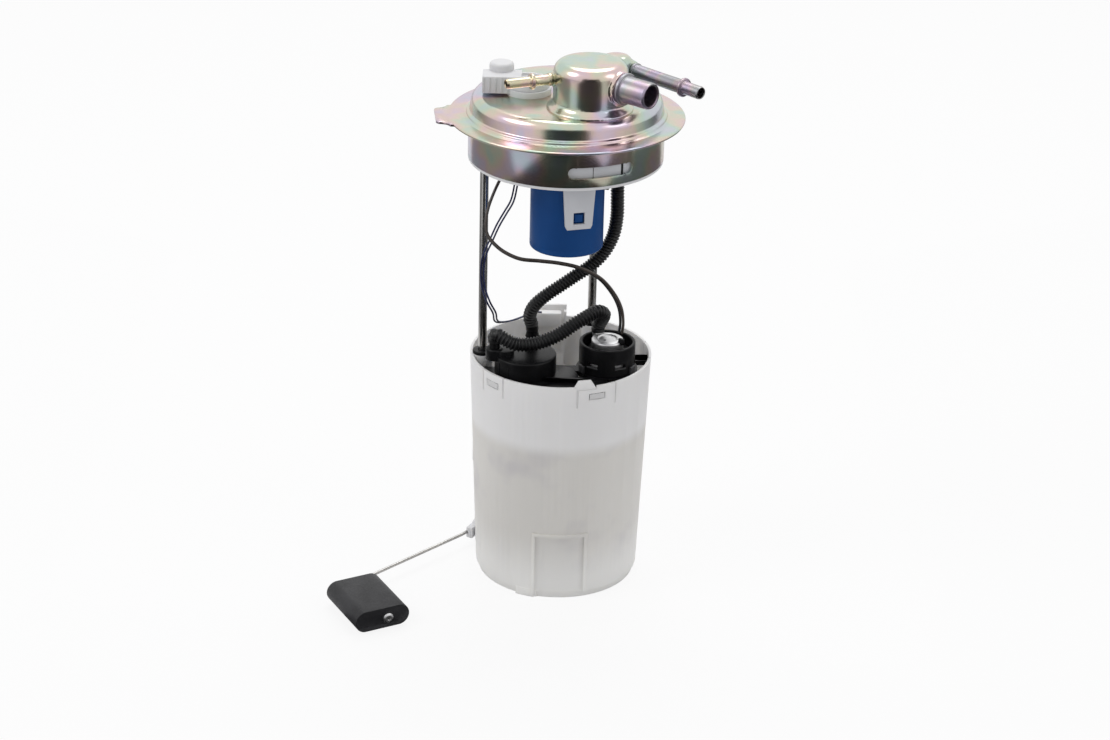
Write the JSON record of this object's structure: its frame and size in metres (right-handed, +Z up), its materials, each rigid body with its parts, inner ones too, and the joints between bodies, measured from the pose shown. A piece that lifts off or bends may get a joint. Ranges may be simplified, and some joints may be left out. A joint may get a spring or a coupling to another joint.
{
  "type": "fuel pump module",
  "caption": "In-tank fuel pump module: pressed steel cover with three pipe ports, blue vent valve, guide rods, hoses and a sliding translucent reservoir with a level float.",
  "frame": {"origin": "centre of the reservoir's foot ring, in the plane that the feet rest on", "axes": "+Z up along the guide rods to the cover, +X to the side away from the level float, -Y to the side with the vent valve's clip"},
  "size_m": [0.2099, 0.1666, 0.3275],
  "materials": {
    "zinc_steel": "zinc plated and passivated, satin",
    "gold_steel": "yellow chromate passivated, satin",
    "stainless": "drawn, bright",
    "white_nylon": "moulded, fine matt",
    "natural_resin": "translucent natural acetal, satin",
    "black_acetal": "moulded, satin",
    "grey_acetal": "moulded, satin",
    "blue_acetal": "moulded, satin",
    "hose_nylon": "corrugated, satin",
    "lead_jacket": "extruded jacket",
    "sender_jacket": "extruded jacket",
    "seal_rubber": "smooth",
    "float_foam": "closed cell, fine matt",
    "brass": "bright",
    "pump_steel": "plated, satin",
    "magnet": "ferrite, matt",
    "copper": "varnished windings",
    "filter_paper": "pleated paper",
    "strainer_cloth": "woven nylon mesh",
    "ceramic": "fired ceramic with printed tracks"
  },
  "bodies": {
    "cover": {"cover_plate": "zinc_steel", "skirt_ring": "zinc_steel", "port_dome": "zinc_steel", "filler_vent_tube": "zinc_steel", "feed_tube": "zinc_steel", "return_tube": "gold_steel", "connector_body": "white_nylon", "connector_pins": "brass", "connector_seal": "seal_rubber", "valve_carrier": "white_nylon", "vent_valve_body": "blue_acetal", "vent_valve_nipple": "black_acetal", "vent_valve_cap": "blue_acetal", "guide_rods": "stainless", "rod_clips": "pump_steel", "cover_hose_barb": "black_acetal", "upper_hose": "hose_nylon", "pump_leads": "lead_jacket", "sender_leads": "sender_jacket"},
    "vent_float": {"vent_valve_float": "natural_resin"},
    "reservoir": {"reservoir": "natural_resin", "rod_bushes": "black_acetal", "guide_springs": "stainless", "pump_carrier": "black_acetal", "filter_housing": "black_acetal", "filter_element": "filter_paper", "hose_elbow": "black_acetal", "hose_spigot": "black_acetal", "pump_cap": "black_acetal", "pump_end_plate": "pump_steel", "pump_outlet": "pump_steel", "pump_can": "pump_steel", "pump_magnets": "magnet", "pump_chamber_plate": "grey_acetal", "pump_inlet_cover": "grey_acetal", "inlet_strainer": "strainer_cloth", "foot_valve": "seal_rubber", "sender_bracket": "white_nylon", "resistor_card": "ceramic", "sender_connector": "white_nylon", "lower_hose": "hose_nylon"},
    "pump_rotor": {"armature": "copper", "motor_shaft": "stainless", "impeller": "black_acetal"},
    "float_arm": {"arm_holder": "white_nylon", "float_wire": "stainless", "fuel_float": "float_foam", "float_push_nut": "pump_steel"}
  },
  "joints": [
    {"name": "reservoir_slide", "type": "slide", "parent": "cover", "child": "reservoir", "axis": [0, 0, 1], "range_m": [0, 0.03], "stiffness_N_per_m": 300, "springref_m": -0.05, "deforming": ["guide_springs", "upper_hose", "pump_leads", "sender_leads"]},
    {"name": "float_swing", "type": "hinge", "parent": "reservoir", "child": "float_arm", "pos_m": [-0.04821, 0.02563, 0.0085], "axis": [-0.8829, 0.4695, 0], "range_deg": [0, 50]},
    {"name": "rotor_spin", "type": "hinge", "parent": "reservoir", "child": "pump_rotor", "pos_m": [0.0272, -0.0105, 0.08], "axis": [0, 0, 1], "continuous": true},
    {"name": "vent_float_lift", "type": "slide", "parent": "cover", "child": "vent_float", "axis": [0, 0, 1], "range_m": [0, 0.004]}
  ]
}
